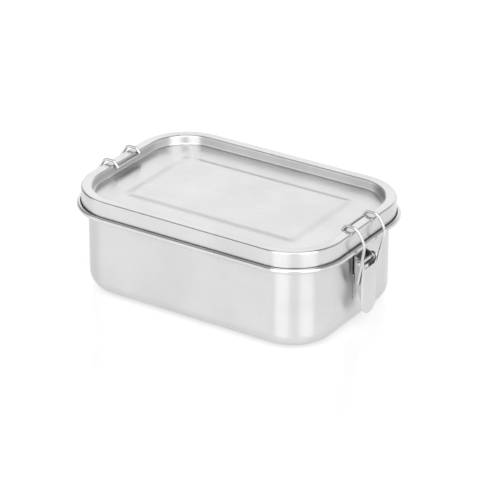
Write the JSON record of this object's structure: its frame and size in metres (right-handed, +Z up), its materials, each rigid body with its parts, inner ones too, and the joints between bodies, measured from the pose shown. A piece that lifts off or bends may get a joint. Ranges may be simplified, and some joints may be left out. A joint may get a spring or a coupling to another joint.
{
  "type": "lunch box",
  "caption": "Rectangular stainless-steel lunch box with rounded corners, a flat lid with a raised rim, a silicone seal and a wire toggle latch on each end.",
  "frame": {"origin": "middle of the tray's underside, on the surface that the box stands on", "axes": "+X along the long side towards one latch, +Y across the box, +Z up through the lid"},
  "size_m": [0.215, 0.141, 0.0774],
  "materials": {
    "tray_steel": "satin",
    "lid_steel": "satin",
    "latch_steel": "polished",
    "wire_steel": "polished",
    "silicone": "matte"
  },
  "bodies": {
    "tray": {"tray": "tray_steel", "right_latch_base": "latch_steel", "right_latch_pin": "wire_steel", "left_latch_base": "latch_steel", "left_latch_pin": "wire_steel"},
    "lid": {"lid": "lid_steel", "seal": "silicone"},
    "right_lever": {"right_latch_lever": "latch_steel"},
    "right_bail": {"right_latch_bail": "wire_steel"},
    "left_lever": {"left_latch_lever": "latch_steel"},
    "left_bail": {"left_latch_bail": "wire_steel"}
  },
  "joints": [
    {"name": "lid_lift", "type": "slide", "parent": "tray", "child": "lid", "axis": [0, 0, 1], "range_m": [0, 0.12]},
    {"name": "right_lever_hinge", "type": "hinge", "parent": "tray", "child": "right_lever", "pos_m": [0.1002, 0, 0.048], "axis": [0, -1, 0], "range_deg": [0, 125]},
    {"name": "right_bail_hinge", "type": "hinge", "parent": "right_lever", "child": "right_bail", "pos_m": [0.1006, 0, 0.0342], "axis": [0, 1, 0], "range_deg": [0, 305]},
    {"name": "left_lever_hinge", "type": "hinge", "parent": "tray", "child": "left_lever", "pos_m": [-0.1002, 0, 0.048], "axis": [0, 1, 0], "range_deg": [0, 125]},
    {"name": "left_bail_hinge", "type": "hinge", "parent": "left_lever", "child": "left_bail", "pos_m": [-0.1006, 0, 0.0342], "axis": [0, -1, 0], "range_deg": [0, 305]}
  ],
  "couplings": [
    {"joint": "right_bail_hinge", "follows": "right_lever_hinge", "ratio": 2.44},
    {"joint": "left_bail_hinge", "follows": "left_lever_hinge", "ratio": 2.44}
  ]
}
